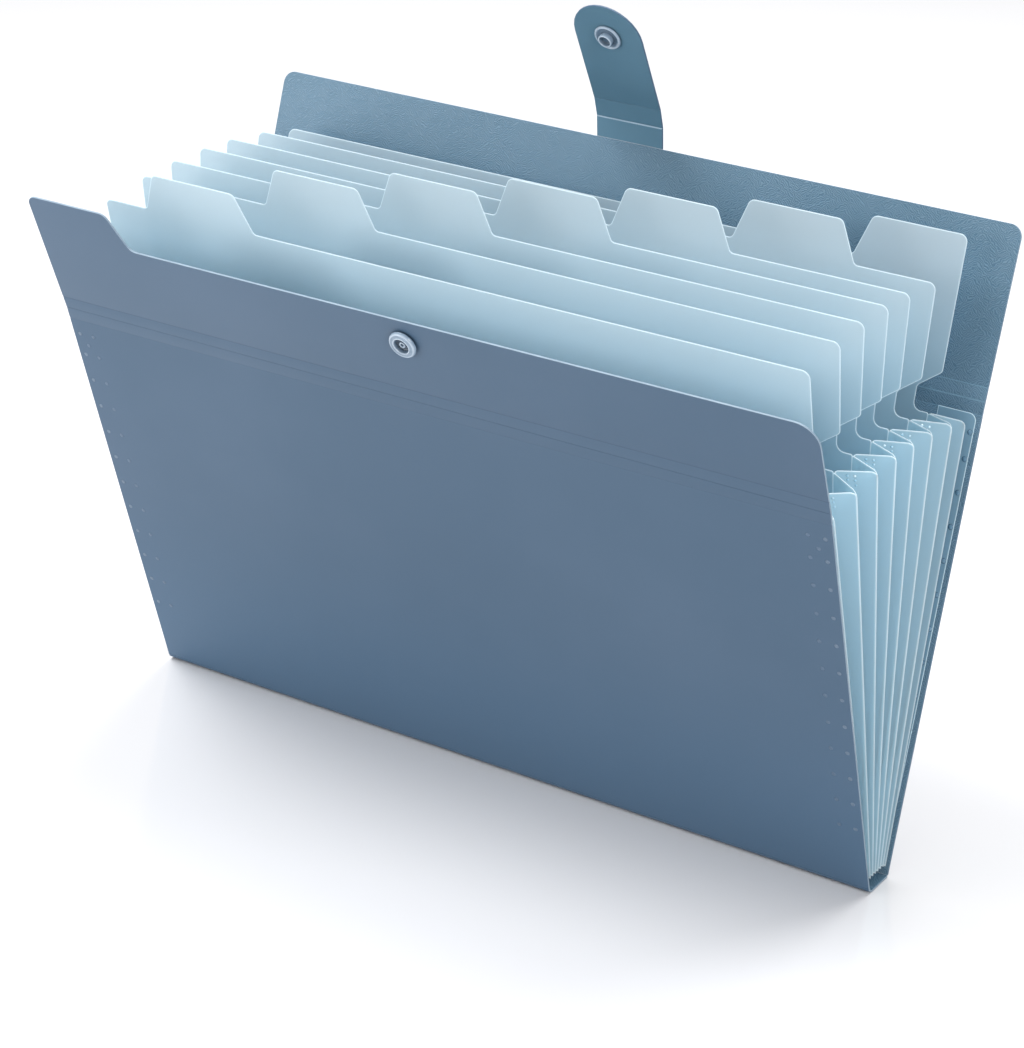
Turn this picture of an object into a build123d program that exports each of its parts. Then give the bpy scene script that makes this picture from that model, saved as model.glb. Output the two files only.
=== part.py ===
from build123d import *
import os
from math import cos, radians, sin, sqrt

# An expanding file of thin plastic sheets, standing open like a fan.
# Sizes are in millimetres and degrees. X runs along the width, the front faces -Y, +Z is up,
# and the origin is at the middle of the flat strip that the folder stands on.

# Covers
cover_width = 330.0
cover_thickness = 0.8
front_height = 220.0
front_corner_radius = 9.0
ear_width = 37.0
ear_rise = 15.5
ear_slope = 7.5
ear_radius = 4.0
back_rise = 26.3
back_corner_radius = 5.0
lip_height = 38.5
crease_spacing = 5.2
score_depth = 0.15
score_width = 0.9
hinge_gap = 0.05

# Spine strip: a flat foot that curves up into the front cover
foot_width = 12.0
spine_radius = 3.0
spine_sweep = 70.0

# Opening of the fan, from the front cover to the back cover
front_tilt = 17.8
pocket_angles = [4.75, 5.1, 4.1, 4.2, 3.95, 4.9, 4.9, 1.95]
front_flare = 4.0
back_flare = 2.0

# When the fan is closed, each cover leans in from its crease by this angle
closed_taper = 0.57

# Dividers
divider_thickness = 0.4
divider_clearance = 1.6
divider_rise = 3.5
divider_overhang = 2.5
divider_corner_radius = 3.0
neck_inset = 6.25
neck_height = 9.0
neck_slope = 6.5
neck_radius = 3.0
tab_rise = 15.5
tab_top_width = 37.8
tab_left_slope = 5.5
tab_right_slope = 7.0
tab_margin = 20.0
tab_radius = 2.0

# Folded gussets at both sides
gusset_thickness = 0.25
pleat_margin = 4.0
pleat_depth = 13.5
pleat_spread = 3.0
pleat_drop = 3.5
flange_margin = 2.0
flange_drop = 5.0
flange_radius = 3.0
gusset_margin = 3.0
fold_clearance = 0.14
weld_clearance = 0.2

# Closing tongue, with the bend of its three creases in the stored pose and when closed
tongue_width = 29.4
tongue_mid_length = 8.0
tongue_bends = [23.0, 13.0, 10.0]
tongue_closed_bends = [66.0, 57.0, 57.0]

# Snap fastener
snap_diameter = 11.2
snap_drop = 10.2
snap_clearance = 0.6
socket_rise = 2.2
socket_floor = 0.4
socket_bore = 6.0
nub_diameter = 1.6
nub_rise = 1.0
nub_clearance = 0.6
nub_headroom = 0.3
stud_flange = 1.0
post_clearance = 0.4
cap_thickness = 0.7
rivet_diameter = 3.8
rivet_clearance = 0.1
snap_edge_radius = 0.3

# Opening angles of the sheets and the axes of the two cover creases
pocket_count = len(pocket_angles)
divider_count = pocket_count - 1
leaf_tilts = [-front_tilt]
for angle in pocket_angles:
    leaf_tilts.append(leaf_tilts[-1] + angle)
back_tilt = leaf_tilts[-1]

front_axis_y = -foot_width / 2 - spine_radius * sin(radians(spine_sweep))
front_axis_z = cover_thickness + spine_radius * (1 - cos(radians(spine_sweep)))
back_axis_y = foot_width / 2
back_axis_z = cover_thickness
closed_depth = back_axis_y - front_axis_y
leaf_pitch = closed_depth / pocket_count

# Heights up the sheets. The gusset starts where the narrowest pocket has room for a folded pleat.
lip_crease = front_height - lip_height
back_height = front_height + back_rise
snap_height = front_height - snap_drop
flange_top = lip_crease - flange_drop
gusset_top = flange_top - pleat_drop
neck_low = gusset_top + neck_height
neck_high = neck_low + neck_slope
divider_lift = cover_thickness + divider_clearance
divider_height = front_height + divider_rise
pleat_room = 3 * gusset_thickness + divider_thickness / 2 + 2 * weld_clearance + fold_clearance
gusset_bottom = max(gusset_margin, (pleat_room - leaf_pitch) / sin(radians(min(pocket_angles))))

# Distances out from the middle
half_cover = cover_width / 2
flange_edge = half_cover - flange_margin
gusset_edge = half_cover - pleat_margin
gusset_seat = gusset_edge - pleat_depth
half_divider = gusset_seat + divider_overhang
half_neck = gusset_seat - neck_inset
half_tongue = tongue_width / 2
first_tab = tab_margin - half_divider
last_tab = half_divider - tab_left_slope - tab_top_width
tab_pitch = (last_tab - first_tab) / (divider_count - 1)

# The tongue's way over the top of the closed folder, down to the socket, seen square to the front cover
taper = radians(closed_taper)
crease_step = front_axis_z - back_axis_z
closed_top_depth = closed_depth * cos(taper) + crease_step * sin(taper) - back_height * sin(2 * taper)
closed_top_rise = closed_depth * sin(taper) - crease_step * cos(taper) + back_height * cos(2 * taper)
closed_lean_1 = radians(tongue_closed_bends[0])
closed_lean_2 = radians(tongue_closed_bends[0] + tongue_closed_bends[1])
snap_gap = stud_flange + snap_clearance + socket_rise
tongue_reach = closed_top_depth + cover_thickness + snap_gap
tongue_root_length = (tongue_reach - tongue_mid_length * sin(closed_lean_2)) / sin(closed_lean_1)
tongue_climb = tongue_root_length * cos(closed_lean_1) + tongue_mid_length * cos(closed_lean_2)
stud_place = closed_top_rise + tongue_climb - snap_height
post_length = snap_gap - stud_flange - socket_floor - post_clearance
post_diameter = socket_bore - 2 * post_clearance
post_hollow = nub_diameter + 2 * nub_clearance
hollow_depth = nub_rise + nub_headroom


def sheet_plane(y, z, tilt):
    # A sheet leans by tilt towards +Y. Local Y climbs the sheet and local Z faces the front.
    lean = radians(tilt)
    return Plane(origin=(0, y, z), x_dir=(1, 0, 0), z_dir=(0, -cos(lean), sin(lean)))


def hinged_plane(face, height, tilt):
    # The plane of a sheet that bends away from a face, along a crease at the given height.
    crease = face.from_local_coords((0, height, 0))
    return sheet_plane(crease.Y, crease.Z, tilt)


def outward(plane):
    # The direction that a plane faces, for picking faces along it.
    return Axis(plane.origin, plane.z_dir)


front_plane = sheet_plane(front_axis_y, front_axis_z, leaf_tilts[0])
front_outer = front_plane.offset(cover_thickness)
front_lip_outer = hinged_plane(front_outer, lip_crease, leaf_tilts[0] - front_flare)
front_lip_inner = front_lip_outer.offset(-cover_thickness)

back_plane = sheet_plane(back_axis_y, back_axis_z, back_tilt)
back_outer = back_plane.offset(-cover_thickness)
back_lip_tilt = back_tilt + back_flare
back_lip_outer = hinged_plane(back_outer, lip_crease, back_lip_tilt)
back_lip_inner = back_lip_outer.offset(cover_thickness)

root_tilt = back_lip_tilt - tongue_bends[0]
mid_tilt = root_tilt - tongue_bends[1]
end_tilt = mid_tilt - tongue_bends[2]
root_plane = hinged_plane(back_lip_inner, back_height - lip_crease, root_tilt)
mid_plane = hinged_plane(root_plane, tongue_root_length, mid_tilt)
end_plane = hinged_plane(mid_plane, tongue_mid_length, end_tilt)
end_outer = end_plane.offset(-cover_thickness)

leaf_planes = [front_plane]
for number in range(1, divider_count + 1):
    leaf_y = front_axis_y + leaf_pitch * number
    leaf_planes.append(sheet_plane(leaf_y, divider_lift, leaf_tilts[number]))
leaf_planes.append(back_plane)

os.makedirs("parts", exist_ok=True)


# Spine strip: flat foot, then a curve up to the front crease
with BuildPart() as spine_strip:
    with BuildSketch(Plane.YZ):
        with BuildLine():
            curve_centre = (-foot_width / 2, cover_thickness + spine_radius)
            inner = CenterArc(curve_centre, spine_radius, 270, -spine_sweep)
            outer = CenterArc(curve_centre, spine_radius + cover_thickness, 270, -spine_sweep)
            Line(inner @ 1, outer @ 1)
            Polyline(outer @ 0, (foot_width / 2, 0), (foot_width / 2, cover_thickness), inner @ 0)
        make_face()
    extrude(amount=half_cover, both=True)
spine_strip.part.label = "spine_strip"
export_step(spine_strip.part, "parts/spine_strip.step")


# Front cover below the lip crease, with the lowest of the three score lines
with BuildPart() as front_panel:
    with BuildSketch(front_plane):
        with Locations((0, hinge_gap)):
            Rectangle(cover_width, lip_crease - 2 * hinge_gap, align=(Align.CENTER, Align.MIN))
    extrude(amount=cover_thickness)
    with BuildSketch(front_outer):
        with Locations((0, lip_crease - crease_spacing)):
            Rectangle(cover_width, score_width)
    extrude(amount=-score_depth, mode=Mode.SUBTRACT)
front_panel.part.label = "front_panel"
export_step(front_panel.part, "parts/front_panel.step")


# Front lip above the crease, with the tall ear at its left end
front_lip_rise = front_height - lip_crease
ear_top = front_lip_rise + ear_rise
ear_right = ear_width - half_cover
front_snap = snap_height - lip_crease
with BuildPart() as front_lip:
    with BuildSketch(front_lip_outer):
        with BuildLine():
            FilletPolyline(
                (-half_cover, hinge_gap),
                (half_cover, hinge_gap),
                (half_cover, front_lip_rise),
                (ear_right + ear_slope, front_lip_rise),
                (ear_right, ear_top),
                (-half_cover, ear_top),
                radius=(0, 0, front_corner_radius, ear_radius, ear_radius, ear_radius),
                close=True,
            )
        make_face()
        with Locations((0, front_snap)):
            Circle(rivet_diameter / 2 + rivet_clearance, mode=Mode.SUBTRACT)
    extrude(amount=-cover_thickness)
    with BuildSketch(front_lip_outer):
        with Locations((0, crease_spacing)):
            Rectangle(cover_width, score_width)
    extrude(amount=-score_depth, mode=Mode.SUBTRACT)
front_lip.part.label = "front_lip"
export_step(front_lip.part, "parts/front_lip.step")


# Back cover below the lip crease
with BuildPart() as back_panel:
    with BuildSketch(back_plane):
        with Locations((0, hinge_gap)):
            Rectangle(cover_width, lip_crease - 2 * hinge_gap, align=(Align.CENTER, Align.MIN))
    extrude(amount=-cover_thickness)
    with BuildSketch(back_plane):
        with Locations((0, lip_crease - crease_spacing)):
            Rectangle(cover_width, score_width)
    extrude(amount=-score_depth, mode=Mode.SUBTRACT)
back_panel.part.label = "back_panel"
export_step(back_panel.part, "parts/back_panel.step")


# Back lip, which stands above the divider tabs and carries the tongue
back_lip_rise = back_height - lip_crease
with BuildPart() as back_lip:
    with BuildSketch(back_lip_inner):
        with BuildLine():
            FilletPolyline(
                (-half_cover, hinge_gap),
                (half_cover, hinge_gap),
                (half_cover, back_lip_rise),
                (-half_cover, back_lip_rise),
                radius=(0, 0, back_corner_radius, back_corner_radius),
                close=True,
            )
        make_face()
    extrude(amount=-cover_thickness)
    with BuildSketch(back_lip_inner):
        with Locations((0, crease_spacing)):
            Rectangle(cover_width, score_width)
    extrude(amount=-score_depth, mode=Mode.SUBTRACT)
back_lip.part.label = "back_lip"
export_step(back_lip.part, "parts/back_lip.step")


# Tongue: two short folds over the top, then the end that carries the stud
with BuildPart() as tongue_root:
    with BuildSketch(root_plane):
        with Locations((0, hinge_gap)):
            Rectangle(tongue_width, tongue_root_length - 2 * hinge_gap, align=(Align.CENTER, Align.MIN))
    extrude(amount=-cover_thickness)
tongue_root.part.label = "tongue_root"
export_step(tongue_root.part, "parts/tongue_root.step")

with BuildPart() as tongue_mid:
    with BuildSketch(mid_plane):
        with Locations((0, hinge_gap)):
            Rectangle(tongue_width, tongue_mid_length - 2 * hinge_gap, align=(Align.CENTER, Align.MIN))
    extrude(amount=-cover_thickness)
tongue_mid.part.label = "tongue_mid"
export_step(tongue_mid.part, "parts/tongue_mid.step")

with BuildPart() as tongue_end:
    with BuildSketch(end_plane):
        with BuildLine():
            Polyline(
                (-half_tongue, stud_place),
                (-half_tongue, hinge_gap),
                (half_tongue, hinge_gap),
                (half_tongue, stud_place),
            )
            ThreePointArc(
                (half_tongue, stud_place),
                (0, stud_place + half_tongue),
                (-half_tongue, stud_place),
            )
        make_face()
        with Locations((0, stud_place)):
            Circle(rivet_diameter / 2 + rivet_clearance, mode=Mode.SUBTRACT)
    extrude(amount=-cover_thickness)
tongue_end.part.label = "tongue_end"
export_step(tongue_end.part, "parts/tongue_end.step")


# Snap fastener: each half is riveted through its sheet to a cap on the other side
with BuildPart() as snap_socket:
    with BuildSketch(front_lip_outer):
        with Locations((0, front_snap)):
            Circle(snap_diameter / 2)
    extrude(amount=socket_rise)
    rim = snap_socket.faces().sort_by(outward(front_lip_outer))[-1]
    fillet(rim.edges(), snap_edge_radius)
    with BuildSketch(front_lip_outer.offset(socket_floor)):
        with Locations((0, front_snap)):
            Circle(socket_bore / 2)
            Circle(nub_diameter / 2, mode=Mode.SUBTRACT)
    extrude(amount=socket_rise - socket_floor, mode=Mode.SUBTRACT)
    with BuildSketch(front_lip_outer.offset(socket_floor + nub_rise)):
        with Locations((0, front_snap)):
            Circle(nub_diameter / 2)
    extrude(amount=socket_rise - socket_floor - nub_rise, mode=Mode.SUBTRACT)
snap_socket.part.label = "snap_socket"
export_step(snap_socket.part, "parts/snap_socket.step")

with BuildPart() as snap_socket_cap:
    with BuildSketch(front_lip_inner):
        with Locations((0, front_snap)):
            Circle(snap_diameter / 2)
    extrude(amount=-cap_thickness)
    dome = snap_socket_cap.faces().sort_by(outward(front_lip_inner))[0]
    fillet(dome.edges(), snap_edge_radius)
    with BuildSketch(front_lip_inner):
        with Locations((0, front_snap)):
            Circle(rivet_diameter / 2)
    extrude(amount=cover_thickness)
snap_socket_cap.part.label = "snap_socket_cap"
export_step(snap_socket_cap.part, "parts/snap_socket_cap.step")

with BuildPart() as snap_stud:
    with BuildSketch(end_plane):
        with Locations((0, stud_place)):
            Circle(snap_diameter / 2)
    extrude(amount=stud_flange)
    rim = snap_stud.faces().sort_by(outward(end_plane))[-1]
    fillet(rim.edges(), snap_edge_radius)
    with BuildSketch(end_plane.offset(stud_flange)):
        with Locations((0, stud_place)):
            Circle(post_diameter / 2)
    extrude(amount=post_length)
    tip = snap_stud.faces().sort_by(outward(end_plane))[-1]
    fillet(tip.edges(), snap_edge_radius)
    with BuildSketch(end_plane.offset(stud_flange + post_length)):
        with Locations((0, stud_place)):
            Circle(post_hollow / 2)
    extrude(amount=-hollow_depth, mode=Mode.SUBTRACT)
snap_stud.part.label = "snap_stud"
export_step(snap_stud.part, "parts/snap_stud.step")

with BuildPart() as snap_stud_cap:
    with BuildSketch(end_outer):
        with Locations((0, stud_place)):
            Circle(snap_diameter / 2)
    extrude(amount=-cap_thickness)
    dome = snap_stud_cap.faces().sort_by(outward(end_outer))[0]
    fillet(dome.edges(), snap_edge_radius)
    with BuildSketch(end_outer):
        with Locations((0, stud_place)):
            Circle(rivet_diameter / 2)
    extrude(amount=cover_thickness)
snap_stud_cap.part.label = "snap_stud_cap"
export_step(snap_stud_cap.part, "parts/snap_stud_cap.step")


def divider_outline(number):
    # Corners of one divider, counter-clockwise from its lower left, each with its radius.
    tab_left = first_tab + tab_pitch * (number - 1)
    tab_top = divider_height + tab_rise
    shoulder = [
        (gusset_seat, gusset_top, 0),
        (half_neck, gusset_top, neck_radius),
        (half_neck, neck_low, tab_radius),
        (half_divider, neck_high, tab_radius),
    ]
    right_side = [(gusset_seat, 0, tab_radius)] + shoulder
    left_side = [(-x, y, radius) for x, y, radius in reversed(right_side)]
    if number < divider_count:
        tab_right = tab_left + tab_left_slope + tab_top_width
        right_top = [
            (half_divider, divider_height, divider_corner_radius),
            (tab_right + tab_right_slope, divider_height, tab_radius),
            (tab_right, tab_top, divider_corner_radius),
        ]
    else:
        right_top = [(half_divider, tab_top, divider_corner_radius)]
    left_top = [
        (tab_left + tab_left_slope, tab_top, divider_corner_radius),
        (tab_left, divider_height, tab_radius),
        (-half_divider, divider_height, divider_corner_radius),
    ]
    return right_side + right_top + left_top + left_side


# Dividers, each with its index tab one step further to the right
for number in range(1, divider_count + 1):
    corners = divider_outline(number)
    with BuildPart() as divider:
        with BuildSketch(leaf_planes[number]):
            with BuildLine():
                FilletPolyline(
                    [(x, y) for x, y, radius in corners],
                    radius=[radius for x, y, radius in corners],
                    close=True,
                )
            make_face()
        extrude(amount=divider_thickness / 2, both=True)
    divider.part.label = f"divider_{number}"
    export_step(divider.part, f"parts/divider_{number}.step")


def pleat_section(number, height):
    # The plane across one pleat at a height, and half the gap between the sheets that it joins.
    front_inset = divider_thickness / 2
    back_inset = divider_thickness / 2
    if number == 1:
        front_inset = gusset_thickness
    if number == pocket_count:
        back_inset = gusset_thickness
    front_seat = leaf_planes[number - 1].from_local_coords((0, height, -front_inset - weld_clearance))
    back_seat = leaf_planes[number].from_local_coords((0, height, back_inset + weld_clearance))
    across = back_seat - front_seat
    middle = (front_seat + back_seat) * 0.5
    section = Plane(origin=middle, x_dir=(1, 0, 0), z_dir=Vector(1, 0, 0).cross(across))
    return section, across.length / 2


# Gussets: a flange welded inside each cover and one V-shaped pleat for each pocket
for side, sign in (("left", -1), ("right", 1)):
    for number in range(1, pocket_count + 1):
        with BuildPart() as pleat:
            for height, fold_edge in ((gusset_bottom, gusset_edge + pleat_spread), (gusset_top, gusset_edge)):
                section, half_gap = pleat_section(number, height)
                depth = fold_edge - gusset_seat
                wall = gusset_thickness * sqrt(1 + (half_gap / depth) ** 2)
                inner_fold = gusset_seat + depth * (1 - wall / half_gap)
                with BuildSketch(section):
                    with BuildLine():
                        Polyline(
                            (sign * gusset_seat, -half_gap),
                            (sign * fold_edge, 0),
                            (sign * gusset_seat, half_gap),
                            (sign * gusset_seat, half_gap - wall),
                            (sign * inner_fold, 0),
                            (sign * gusset_seat, wall - half_gap),
                            close=True,
                        )
                    make_face()
            loft(ruled=True)
        pleat.part.label = f"{side}_pleat_{number}"
        export_step(pleat.part, f"parts/{side}_pleat_{number}.step")

    for cover, plane, inward in (("front", front_plane, -1), ("back", back_plane, 1)):
        with BuildPart() as flange:
            with BuildSketch(plane):
                with BuildLine():
                    FilletPolyline(
                        (sign * gusset_seat, gusset_bottom),
                        (sign * flange_edge, gusset_bottom),
                        (sign * flange_edge, flange_top),
                        (sign * gusset_seat, flange_top),
                        radius=(0, 0, flange_radius, 0),
                        close=True,
                    )
                make_face()
            extrude(amount=inward * gusset_thickness)
        flange.part.label = f"{side}_{cover}_flange"
        export_step(flange.part, f"parts/{side}_{cover}_flange.step")
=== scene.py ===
import bpy
import bmesh
from math import atan2, cos, pi, radians, sin, tan
from mathutils import Matrix, Vector


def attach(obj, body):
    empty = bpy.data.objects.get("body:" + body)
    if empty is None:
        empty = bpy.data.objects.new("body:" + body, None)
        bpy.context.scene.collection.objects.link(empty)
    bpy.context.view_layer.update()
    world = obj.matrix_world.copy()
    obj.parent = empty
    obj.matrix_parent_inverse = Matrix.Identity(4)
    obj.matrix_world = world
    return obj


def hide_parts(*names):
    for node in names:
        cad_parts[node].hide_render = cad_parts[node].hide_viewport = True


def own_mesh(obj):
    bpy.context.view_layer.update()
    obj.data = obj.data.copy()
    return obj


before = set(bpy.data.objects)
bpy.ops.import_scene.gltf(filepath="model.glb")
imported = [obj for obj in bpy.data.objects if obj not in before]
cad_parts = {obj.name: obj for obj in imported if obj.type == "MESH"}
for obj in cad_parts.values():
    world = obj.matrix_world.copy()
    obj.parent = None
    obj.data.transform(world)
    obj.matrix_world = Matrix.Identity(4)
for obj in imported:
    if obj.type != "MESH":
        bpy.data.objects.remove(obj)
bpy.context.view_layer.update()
scene = bpy.context.scene
mm = 0.001  # sizes are in millimetres and degrees, unless a note says metres

# how the sheets stand, from the front cover to the back cover
fan = {
    "frontTilt": 17.8,
    "pocketAngles": (4.75, 5.1, 4.1, 4.2, 3.95, 4.9, 4.9, 1.95),
    "frontFlare": 4.0,
    "backFlare": 2.0,
    "footWidth": 12.0,
    "spineRadius": 3.0,
    "spineSweep": 70.0,
    "spineSteps": 14,
    "footShares": (0.3, 0.6, 1.0),
    "coverSheet": 0.8,
    "dividerLift": 2.4,
    "lipCrease": 181.5,
}


def sheetFrame(y, z, tilt):
    # local x runs along the width, y climbs the sheet, z faces the front
    lean = radians(tilt)
    return Matrix(((1, 0, 0, 0), (0, sin(lean), -cos(lean), y), (0, cos(lean), sin(lean), z), (0, 0, 0, 1)))


def bentFrame(base, height, depth, tilt):
    crease = base @ Vector((0, height, depth))
    return sheetFrame(crease.y, crease.z, tilt)


leafTilts = [-fan["frontTilt"]]
for angle in fan["pocketAngles"]:
    leafTilts.append(leafTilts[-1] + angle)
pocketCount = len(fan["pocketAngles"])
sheet = fan["coverSheet"]
sweep = radians(fan["spineSweep"])
frontAxisY = -fan["footWidth"] / 2 - fan["spineRadius"] * sin(sweep)
frontAxisZ = sheet + fan["spineRadius"] * (1 - cos(sweep))
backAxisY = fan["footWidth"] / 2
leafPitch = (backAxisY - frontAxisY) / pocketCount
leafFrames = [sheetFrame(frontAxisY, frontAxisZ, leafTilts[0])]
for number in range(1, pocketCount):
    leafFrames.append(sheetFrame(frontAxisY + leafPitch * number, fan["dividerLift"], leafTilts[number]))
leafFrames.append(sheetFrame(backAxisY, sheet, leafTilts[-1]))
frontFrame, backFrame = leafFrames[0], leafFrames[-1]
frontLipFrame = bentFrame(frontFrame, fan["lipCrease"], sheet, leafTilts[0] - fan["frontFlare"])
backLipTilt = leafTilts[-1] + fan["backFlare"]
backLipFrame = bentFrame(backFrame, fan["lipCrease"], -sheet, backLipTilt)


def tint(red, green, blue):
    # screen colour to linear
    channels = [c / 255 for c in (red, green, blue)]
    return tuple(c / 12.92 if c < 0.04 else ((c + 0.055) / 1.055) ** 2.4 for c in channels) + (1,)


def plug(tree, socket, value):
    if isinstance(value, bpy.types.NodeSocket):
        tree.links.new(value, socket)
    else:
        socket.default_value = value


def addNode(tree, kind, inputs=None, **settings):
    node = tree.nodes.new(kind)
    for key, value in settings.items():
        setattr(node, key, value)
    for key, value in (inputs or {}).items():
        plug(tree, node.inputs[key], value)
    return node


def mixColour(tree, share, first, second):
    node = addNode(tree, "ShaderNodeMix", data_type="RGBA")
    for socket, value in zip((node.inputs[0], node.inputs[6], node.inputs[7]), (share, first, second)):
        plug(tree, socket, value)
    return node.outputs[2]


def ramp(tree, value, low, high):
    node = addNode(tree, "ShaderNodeMapRange", {0: value, 1: low, 2: high}, interpolation_type="SMOOTHSTEP")
    return node.outputs[0]


def noise(tree, spot, scale, detail):
    inputs = {"Vector": spot, "Scale": scale, "Detail": detail}
    return addNode(tree, "ShaderNodeTexNoise", inputs).outputs[0]


def attribute(tree, name):
    return addNode(tree, "ShaderNodeAttribute", attribute_name=name).outputs["Fac"]


def startMaterial(name):
    material = bpy.data.materials.new(name)
    material.use_nodes = True
    tree = material.node_tree
    tree.nodes.clear()
    spot = addNode(tree, "ShaderNodeTexCoord").outputs["Object"]
    out = addNode(tree, "ShaderNodeOutputMaterial")
    return material, tree, spot, out


def plasticShader(tree, colour, rough, height, depth, gloss):
    bump = addNode(tree, "ShaderNodeBump", {"Strength": 1.0, "Distance": depth, "Height": height})
    return addNode(tree, "ShaderNodeBsdfPrincipled", {
        "Base Color": colour, "Roughness": rough, "Normal": bump.outputs[0], "Specular IOR Level": gloss,
    })


cloudRange = (0.35, 0.65)  # noise values between which the clouds fade in

# opaque cover sheet: colour, faint clouds, painted shade or highlight along creases and seams, painted light
# towards the foot on the outside, grain or a leather-like emboss with painted highlight and shade; depths in
# metres
coverLooks = {
    "coverOutside": {
        "base": tint(66, 90, 113), "cloud": tint(71, 94, 117), "line": tint(53, 75, 99),
        # painted light towards the foot of the cover
        "foot": tint(70, 98, 124),
        "cloudScale": 9.0, "grain": 2600.0, "depth": 0.00003, "rough": 0.5, "emboss": False,
    },
    "coverInside": {
        "base": tint(78, 109, 129), "cloud": tint(84, 114, 134), "line": tint(112, 146, 166),
        "cloudScale": 12.0, "grain": 520.0, "depth": 0.00009, "rough": 0.42, "emboss": True,
    },
    # the strap's inside face, painted lighter than coverInside to stand in for light its forward lean loses
    "strapInsidePaintedLight": {
        "base": tint(90, 124, 143), "cloud": tint(95, 129, 148), "line": tint(70, 103, 124),
        "cloudScale": 30.0, "grain": 2200.0, "depth": 0.00004, "rough": 0.4, "emboss": False,
    },
    "coverCut": {
        "base": tint(124, 142, 157), "cloud": tint(114, 132, 148), "line": tint(84, 104, 122),
        "cloudScale": 90.0, "grain": 3000.0, "depth": 0.00002, "rough": 0.5, "emboss": False,
    },
    "strapLine": {
        "base": tint(170, 190, 205), "cloud": tint(158, 180, 197), "line": tint(120, 145, 165),
        "cloudScale": 90.0, "grain": 3000.0, "depth": 0.00002, "rough": 0.5, "emboss": False,
    },
    # the spine's inside face, a darker copy of coverInside: painted shade in the hollow of the spine
    "spineInsidePaintedShade": {
        "base": tint(54, 88, 110), "cloud": tint(60, 94, 116), "line": tint(40, 70, 90),
        "cloudScale": 20.0, "grain": 520.0, "depth": 0.00009, "rough": 0.45, "emboss": True,
    },
}
coverFinish = {
    "cloudDetail": 3.0,
    "grainDetail": 2.0,
    "line": (0.1, 1.0),
    "gloss": 0.4,
    "foot": (0.0, 0.11),  # heights in metres over which the painted light at the foot fades out
}
# leather-like emboss; its valley and ridge colours are painted shade and painted highlight
leather = {
    "detail": 1.0,
    "bend": 8.0,
    "bendScale": 1.1,
    "patchScale": 150.0,
    "patchDetail": 1.0,
    "patchRange": (0.45, 0.55),
    "range": (0.25, 0.8),
    "paintedValleyShade": tint(40, 78, 104),
    "valleyShadeShare": 0.14,
    "paintedRidgeHighlight": tint(190, 214, 228),
    "ridgeHighlightShare": 0.11,
}


def strokes(tree, spot, scale):
    # bent strokes of two directions, one or the other in each patch
    runs = []
    for lean in (1, -1):
        turned = addNode(tree, "ShaderNodeVectorMath", {0: spot, 1: (lean, 1, 1)}, operation="MULTIPLY")
        inputs = {"Vector": turned.outputs[0], "Scale": scale, "Distortion": leather["bend"]}
        inputs.update({"Detail": leather["detail"], "Detail Scale": leather["bendScale"]})
        runs.append(addNode(tree, "ShaderNodeTexWave", inputs, bands_direction="DIAGONAL").outputs["Fac"])
    patches = noise(tree, spot, leather["patchScale"], leather["patchDetail"])
    patch = ramp(tree, patches, *leather["patchRange"])
    return addNode(tree, "ShaderNodeMix", {0: patch, 2: runs[0], 3: runs[1]}).outputs[0]


def coverMaterial(name):
    look = coverLooks[name]
    material, tree, spot, out = startMaterial(name)
    clouds = ramp(tree, noise(tree, spot, look["cloudScale"], coverFinish["cloudDetail"]), *cloudRange)
    colour = mixColour(tree, clouds, look["base"], look["cloud"])
    if "foot" in look:  # painted light: lighter and a little bluer towards the spine
        rise = addNode(tree, "ShaderNodeSeparateXYZ", {0: spot}).outputs[2]
        colour = mixColour(tree, ramp(tree, rise, *coverFinish["foot"]), look["foot"], colour)
    if look["emboss"]:  # short flowing ridges, painted lighter on top as highlight and darker in the valleys as shade
        height = ramp(tree, strokes(tree, spot, look["grain"]), *leather["range"])
        paintedValleyShade = mixColour(tree, leather["valleyShadeShare"], colour, leather["paintedValleyShade"])
        paintedRidgeHighlight = mixColour(tree, leather["ridgeHighlightShare"], colour, leather["paintedRidgeHighlight"])
        colour = mixColour(tree, height, paintedValleyShade, paintedRidgeHighlight)
    else:
        height = noise(tree, spot, look["grain"], coverFinish["grainDetail"])
    # painted line along creases and seams: shade on most finishes, a highlight on coverInside
    line = ramp(tree, attribute(tree, "crease"), *coverFinish["line"])
    colour = mixColour(tree, line, colour, look["line"])
    shader = plasticShader(tree, colour, look["rough"], height, look["depth"], coverFinish["gloss"])
    tree.links.new(shader.outputs[0], out.inputs[0])
    return material


coverOutside = coverMaterial("coverOutside")
coverInside = coverMaterial("coverInside")
strapInsidePaintedLight = coverMaterial("strapInsidePaintedLight")
coverCut = coverMaterial("coverCut")
strapLine = coverMaterial("strapLine")
spineInsidePaintedShade = coverMaterial("spineInsidePaintedShade")

# frosted film: light passes through it, and its cut or folded edges go pale
filmLooks = {
    "dividerFilm": {
        "base": tint(218, 227, 231), "cloud": tint(222, 230, 233), "edge": tint(230, 240, 245),
        "glow": tint(217, 229, 235), "paintedPocketShade": tint(192, 217, 228),
        "through": 0.66, "clear": 0.22, "rough": 0.34,
    },
    "gussetFilm": {
        "base": tint(198, 223, 232), "cloud": tint(203, 225, 233), "edge": tint(238, 246, 249),
        "glow": tint(206, 231, 240), "paintedPocketShade": tint(199, 224, 234),
        "through": 0.52, "clear": 0.22, "rough": 0.28,
    },
    "flangeFilm": {
        "base": tint(148, 186, 208), "cloud": tint(154, 190, 211), "edge": tint(206, 228, 238),
        "glow": tint(158, 196, 217), "paintedPocketShade": tint(148, 186, 208),
        "through": 0.2, "clear": 0.3, "rough": 0.3,
    },
}
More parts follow.
